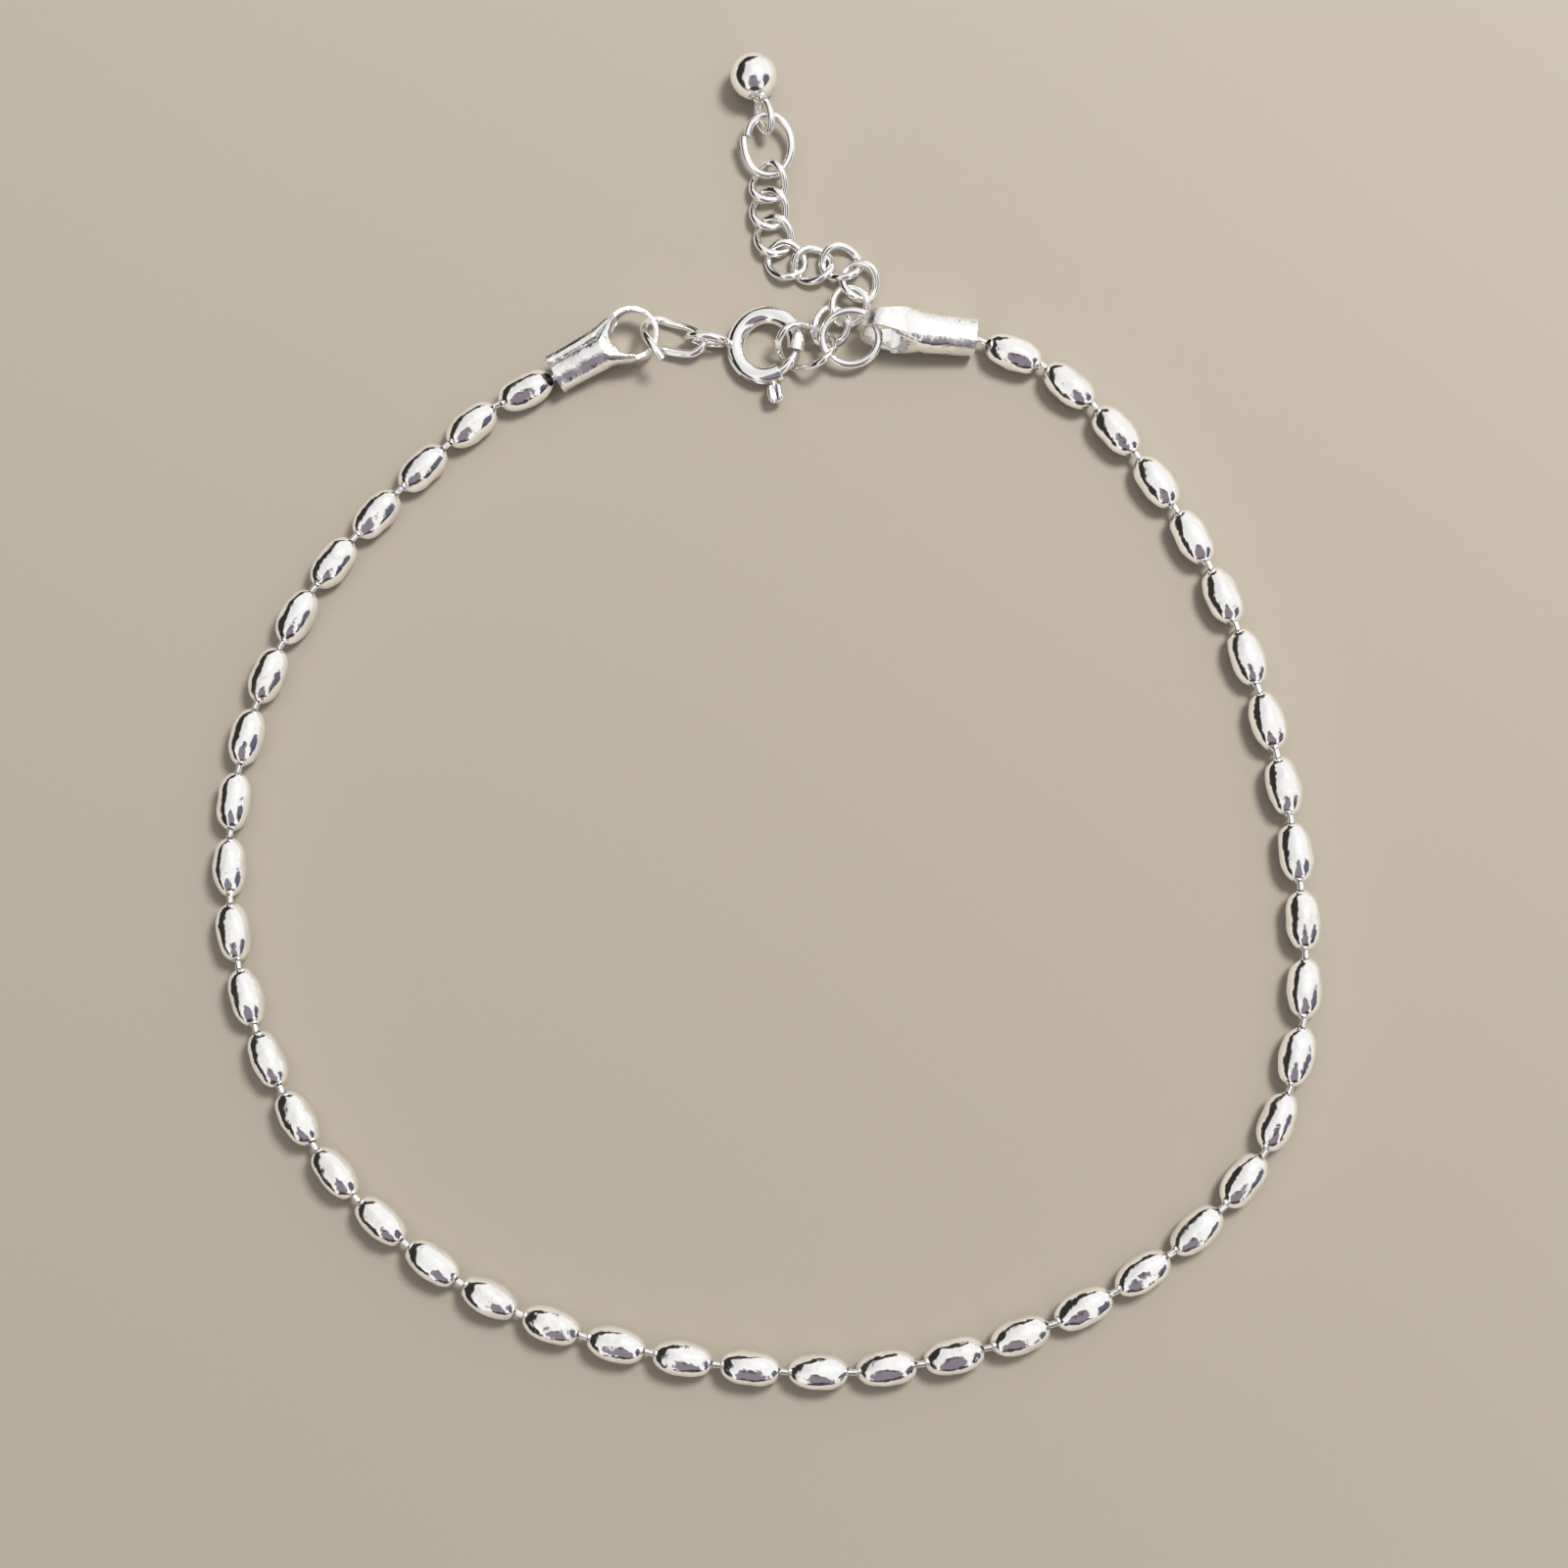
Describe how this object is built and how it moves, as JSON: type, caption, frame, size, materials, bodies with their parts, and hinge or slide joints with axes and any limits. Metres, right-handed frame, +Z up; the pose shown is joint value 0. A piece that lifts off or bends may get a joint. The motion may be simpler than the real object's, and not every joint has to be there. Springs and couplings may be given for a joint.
{
  "type": "beaded anklet",
  "caption": "Ball-chain anklet of long oval silver beads, closed by a spring ring clasp, with tube end caps and a short curb extender that ends in a ball; lies flat in a loop.",
  "frame": {"origin": "on the surface the anklet lies on, under the middle of its whole outline, extender included", "axes": "+Z up out of the surface; +Y towards the clasp and the extender's ball; +X to the right, towards the end cap that the extender's ring holds"},
  "size_m": [0.082, 0.1004, 0.0045],
  "materials": {
    "bead_silver": "polished silver, slightly dented",
    "cap_silver": "polished silver, scuffed and crimped",
    "clasp_silver": "polished silver",
    "wire_silver": "polished silver wire",
    "ball_silver": "polished silver"
  },
  "bodies": {
    "anklet": {"bead_01": "bead_silver", "bead_02": "bead_silver", "bead_03": "bead_silver", "bead_04": "bead_silver", "bead_05": "bead_silver", "bead_06": "bead_silver", "bead_07": "bead_silver", "bead_08": "bead_silver", "bead_09": "bead_silver", "bead_10": "bead_silver", "bead_11": "bead_silver", "bead_12": "bead_silver", "bead_13": "bead_silver", "bead_14": "bead_silver", "bead_15": "bead_silver", "bead_16": "bead_silver", "bead_17": "bead_silver", "bead_18": "bead_silver", "bead_19": "bead_silver", "bead_20": "bead_silver", "bead_21": "bead_silver", "bead_22": "bead_silver", "bead_23": "bead_silver", "bead_24": "bead_silver", "bead_25": "bead_silver", "bead_26": "bead_silver", "bead_27": "bead_silver", "bead_28": "bead_silver", "bead_29": "bead_silver", "bead_30": "bead_silver", "bead_31": "bead_silver", "bead_32": "bead_silver", "bead_33": "bead_silver", "bead_34": "bead_silver", "bead_35": "bead_silver", "bead_36": "bead_silver", "bead_37": "bead_silver", "bead_38": "bead_silver", "bead_39": "bead_silver", "bead_40": "bead_silver", "bead_41": "bead_silver", "bead_42": "bead_silver", "bead_43": "bead_silver", "bead_44": "bead_silver", "end_cap_left": "cap_silver", "end_cap_right": "cap_silver", "clasp_ring": "clasp_silver", "clasp_jump_ring": "wire_silver", "extender_jump_ring": "wire_silver", "extender_chain": "wire_silver", "drop_jump_ring": "wire_silver", "ball_drop": "ball_silver"},
    "trigger": {"clasp_bolt": "clasp_silver"}
  },
  "joints": [
    {"name": "trigger_pull", "type": "hinge", "parent": "anklet", "child": "trigger", "pos_m": [0.00051, 0.02742, 0.00108], "axis": [0.1564, 0, -0.9877], "range_deg": [0, 45], "stiffness_Nm_per_rad": 0.006, "springref_deg": -11.46}
  ]
}
